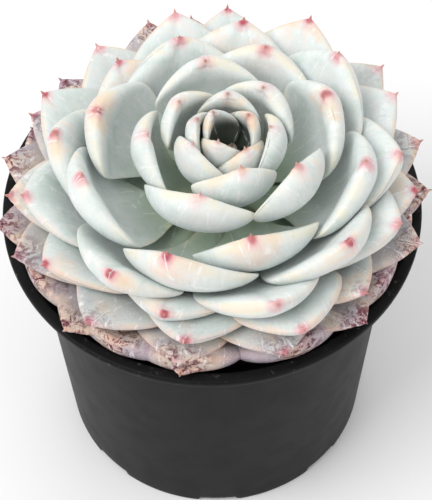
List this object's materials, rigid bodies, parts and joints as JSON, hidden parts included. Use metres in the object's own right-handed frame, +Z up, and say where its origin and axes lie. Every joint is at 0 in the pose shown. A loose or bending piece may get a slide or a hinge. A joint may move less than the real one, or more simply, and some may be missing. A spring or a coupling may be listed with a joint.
{
  "type": "potted succulent",
  "caption": "Rosette succulent with thick, cupped, pointed leaves on a short stem, rooted in soil in a round tapered plastic nursery pot with a turned-out rim",
  "frame": {"origin": "centre of the circle that the pot's foot stands on, on the surface that it stands on", "axes": "+Z up along the pot's axis, +X to the right and +Y to the back as the plant is seen from its front"},
  "size_m": [0.1525, 0.1506, 0.1712],
  "materials": {
    "pot": "matt moulded black plastic",
    "soil": "dark damp peat and grit, crumbly",
    "stem": "short brown-green woody stem",
    "leaf": "waxy pale blue-green leaf with chalky bloom",
    "heart": "waxy pale green young leaves with chalky bloom"
  },
  "bodies": {
    "root": {"pot": "pot", "soil": "soil", "stem": "stem", "leaf_01": "leaf", "leaf_02": "leaf", "leaf_03": "leaf", "leaf_04": "leaf", "leaf_05": "leaf", "leaf_06": "leaf", "leaf_07": "leaf", "leaf_08": "leaf", "leaf_09": "leaf", "leaf_10": "leaf", "leaf_11": "leaf", "leaf_12": "leaf", "leaf_13": "leaf", "leaf_14": "leaf", "leaf_15": "leaf", "leaf_16": "leaf", "leaf_17": "leaf", "leaf_18": "leaf", "leaf_19": "leaf", "leaf_20": "leaf", "leaf_21": "leaf", "leaf_22": "leaf", "leaf_23": "leaf", "leaf_24": "leaf", "leaf_25": "leaf", "leaf_26": "leaf", "leaf_27": "leaf", "leaf_28": "leaf", "leaf_29": "leaf", "leaf_30": "leaf", "leaf_31": "leaf", "leaf_32": "leaf", "leaf_33": "leaf", "leaf_34": "leaf", "leaf_35": "leaf", "leaf_36": "leaf", "leaf_37": "leaf", "leaf_38": "leaf", "leaf_39": "leaf", "leaf_40": "leaf", "leaf_41": "leaf", "leaf_42": "leaf", "leaf_43": "leaf", "leaf_44": "leaf", "leaf_45": "leaf", "leaf_46": "leaf", "leaf_47": "leaf", "leaf_48": "leaf", "leaf_49": "leaf", "leaf_50": "leaf", "leaf_51": "leaf", "leaf_52": "leaf", "leaf_53": "leaf", "leaf_54": "leaf", "leaf_55": "leaf", "leaf_56": "leaf", "heart": "heart"}
  },
  "joints": []
}
